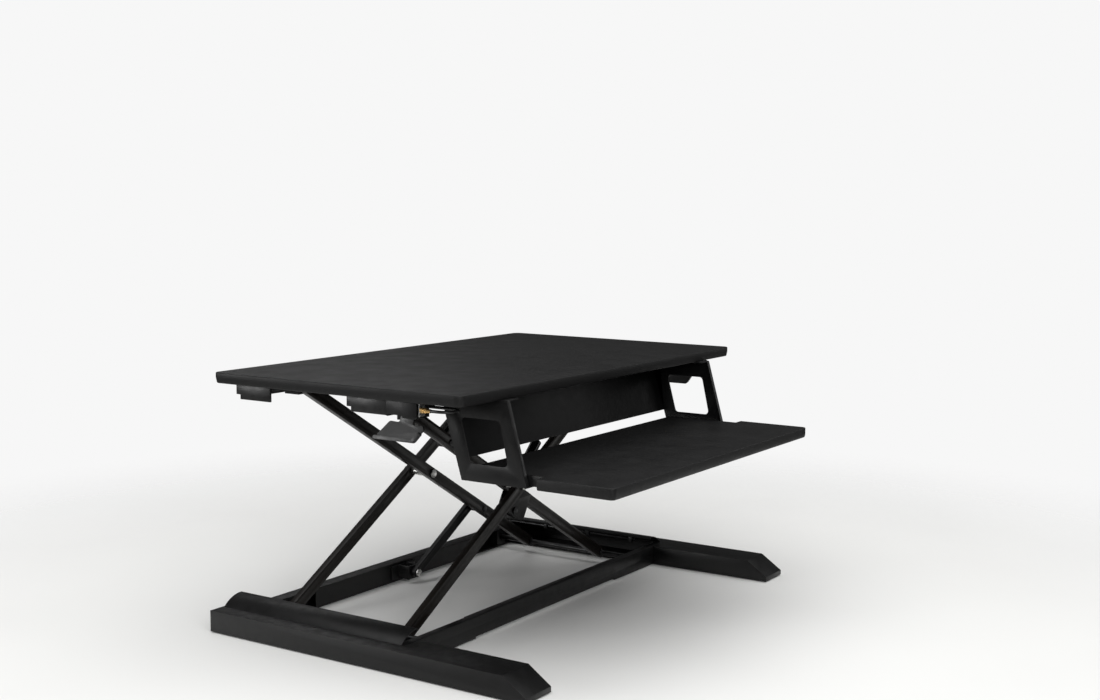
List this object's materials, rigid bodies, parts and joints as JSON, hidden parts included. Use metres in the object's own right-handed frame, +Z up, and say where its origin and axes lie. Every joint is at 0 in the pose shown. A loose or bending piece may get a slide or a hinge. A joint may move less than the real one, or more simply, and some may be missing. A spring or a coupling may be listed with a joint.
{
  "type": "standing desk converter",
  "caption": "Desk riser with a wide desktop and a lower keyboard tray on crossed lifting arms, a floor frame, gas springs and squeeze levers.",
  "frame": {"origin": "centre of the overall bounding box, on the desk surface that the riser stands on", "axes": "+X the user's right, +Y away from the user, +Z up"},
  "size_m": [0.904, 0.742, 0.45],
  "materials": {
    "black_powder_coat": "satin black powder coat with a fine grain",
    "arm_powder_coat": "satin black powder coat, slightly warm",
    "zinc": "bright zinc plate",
    "axle_steel": "darkened steel rod",
    "black_board": "black textured laminate on a pressed board",
    "black_nylon": "moulded black plastic",
    "rubber": "matt black rubber",
    "spring_paint": "gloss black paint",
    "chrome": "polished hard chrome",
    "brass": "turned brass",
    "cable_sheath": "black cable sheath"
  },
  "bodies": {
    "base": {"left_rail": "black_powder_coat", "right_rail": "black_powder_coat", "left_hood": "black_powder_coat", "right_hood": "black_powder_coat", "front_crossbar": "black_powder_coat", "rear_crossbar": "black_powder_coat", "hood_guide_rods": "axle_steel", "guide_rod_clips": "axle_steel", "rubber_feet": "rubber", "frame_bolts": "zinc", "base_link_bracket": "black_powder_coat", "base_link_pin": "zinc"},
    "lower_link": {"lower_link": "black_powder_coat"},
    "inner_frame": {"inner_arm_front": "arm_powder_coat", "inner_arm_rear": "arm_powder_coat", "inner_lower_axle": "axle_steel", "inner_upper_axle": "axle_steel", "front_crossing_bolt": "zinc", "rear_crossing_bolt": "zinc", "crank_plates": "black_powder_coat", "crank_pin": "axle_steel", "lower_link_bolt": "axle_steel", "upper_link_bolt": "axle_steel"},
    "outer_frame": {"outer_arm_front": "arm_powder_coat", "outer_arm_rear": "arm_powder_coat", "outer_lower_axle": "axle_steel", "outer_upper_axle": "axle_steel", "spring_cross_rod": "axle_steel"},
    "inner_lower_shoes": {"inner_lower_shoes": "black_nylon"},
    "inner_upper_shoes": {"inner_upper_shoes": "black_nylon"},
    "outer_lower_shoes": {"outer_lower_shoes": "black_nylon"},
    "outer_upper_shoes": {"outer_upper_shoes": "black_nylon"},
    "spring_cylinder": {"spring_cylinder": "spring_paint"},
    "spring_rod": {"spring_rod": "chrome"},
    "upper_link": {"upper_link": "black_powder_coat"},
    "platform": {"desktop": "black_board", "front_track": "black_powder_coat", "rear_track": "black_powder_coat", "track_end_caps": "black_nylon", "track_screws": "zinc", "top_link_bracket": "black_powder_coat", "top_link_pin": "zinc", "left_tray_bracket": "black_powder_coat", "right_tray_bracket": "black_powder_coat", "back_panel": "black_powder_coat", "keyboard_tray": "black_board", "tray_screws": "zinc", "bracket_screws": "zinc", "left_lever_mount": "black_powder_coat", "right_lever_mount": "black_powder_coat", "left_lever_pin": "zinc", "right_lever_pin": "zinc", "cable_anchors": "zinc", "cable_adjusters": "brass", "release_cable": "cable_sheath", "cable_clips": "black_nylon"},
    "left_lever": {"left_lever": "black_nylon"},
    "right_lever": {"right_lever": "black_nylon"}
  },
  "joints": [
    {"name": "lift", "type": "hinge", "parent": "base", "child": "lower_link", "pos_m": [0, 0.2815, 0.021], "axis": [0, -1, 0], "range_deg": [-22.6, 4.3]},
    {"name": "lower_link_pivot", "type": "hinge", "parent": "lower_link", "child": "inner_frame", "pos_m": [0.16888, 0.2815, 0.12048], "axis": [0, -1, 0], "range_deg": [-8.62, 45.22]},
    {"name": "arm_crossing", "type": "hinge", "parent": "inner_frame", "child": "outer_frame", "pos_m": [0, 0.165, 0.21996], "axis": [0, -1, 0], "range_deg": [-45.22, 8.62]},
    {"name": "upper_link_pivot", "type": "hinge", "parent": "inner_frame", "child": "upper_link", "pos_m": [-0.16888, 0.089, 0.31943], "axis": [0, -1, 0], "range_deg": [-45.22, 8.62]},
    {"name": "platform_pivot", "type": "hinge", "parent": "upper_link", "child": "platform", "pos_m": [0, 0.089, 0.41891], "axis": [0, -1, 0], "range_deg": [-4.32, 22.62]},
    {"name": "inner_lower_shoe_pivot", "type": "hinge", "parent": "inner_frame", "child": "inner_lower_shoes", "pos_m": [0.33776, 0.155, 0.021], "axis": [0, -1, 0], "range_deg": [-22.62, 4.32]},
    {"name": "inner_upper_shoe_pivot", "type": "hinge", "parent": "inner_frame", "child": "inner_upper_shoes", "pos_m": [-0.33776, 0.14, 0.41891], "axis": [0, -1, 0], "range_deg": [-22.62, 4.32]},
    {"name": "outer_lower_shoe_pivot", "type": "hinge", "parent": "outer_frame", "child": "outer_lower_shoes", "pos_m": [-0.33776, 0.155, 0.021], "axis": [0, -1, 0], "range_deg": [-4.32, 22.62]},
    {"name": "outer_upper_shoe_pivot", "type": "hinge", "parent": "outer_frame", "child": "outer_upper_shoes", "pos_m": [0.33776, 0.14, 0.41891], "axis": [0, -1, 0], "range_deg": [-4.32, 22.62]},
    {"name": "spring_swing", "type": "hinge", "parent": "inner_frame", "child": "spring_cylinder", "pos_m": [0.02296, 0.094, 0.16452], "axis": [0, -1, 0], "range_deg": [-44.43, 8.47]},
    {"name": "spring_stroke", "type": "slide", "parent": "spring_cylinder", "child": "spring_rod", "axis": [0.7147, 0, 0.6995], "range_m": [-0.04609, 0.00885]},
    {"name": "left_lever_squeeze", "type": "hinge", "parent": "platform", "child": "left_lever", "pos_m": [-0.428, -0.0345, 0.418], "axis": [0, 1, 0], "range_deg": [0, 14], "stiffness_Nm_per_rad": 0.5, "springref_deg": -17.19},
    {"name": "right_lever_squeeze", "type": "hinge", "parent": "platform", "child": "right_lever", "pos_m": [0.428, -0.0345, 0.418], "axis": [0, -1, 0], "range_deg": [0, 14], "stiffness_Nm_per_rad": 0.5, "springref_deg": -17.19}
  ],
  "couplings": [
    {"joint": "lower_link_pivot", "follows": "lift", "ratio": -2},
    {"joint": "arm_crossing", "follows": "lift", "ratio": 2},
    {"joint": "upper_link_pivot", "follows": "lift", "ratio": 2},
    {"joint": "platform_pivot", "follows": "lift", "ratio": -1},
    {"joint": "inner_lower_shoe_pivot", "follows": "lift", "ratio": 1},
    {"joint": "inner_upper_shoe_pivot", "follows": "lift", "ratio": 1},
    {"joint": "outer_lower_shoe_pivot", "follows": "lift", "ratio": -1},
    {"joint": "outer_upper_shoe_pivot", "follows": "lift", "ratio": -1},
    {"joint": "spring_swing", "follows": "lift", "ratio": 1.965},
    {"joint": "spring_stroke", "follows": "lift", "m_per_rad": 0.1166}
  ]
}
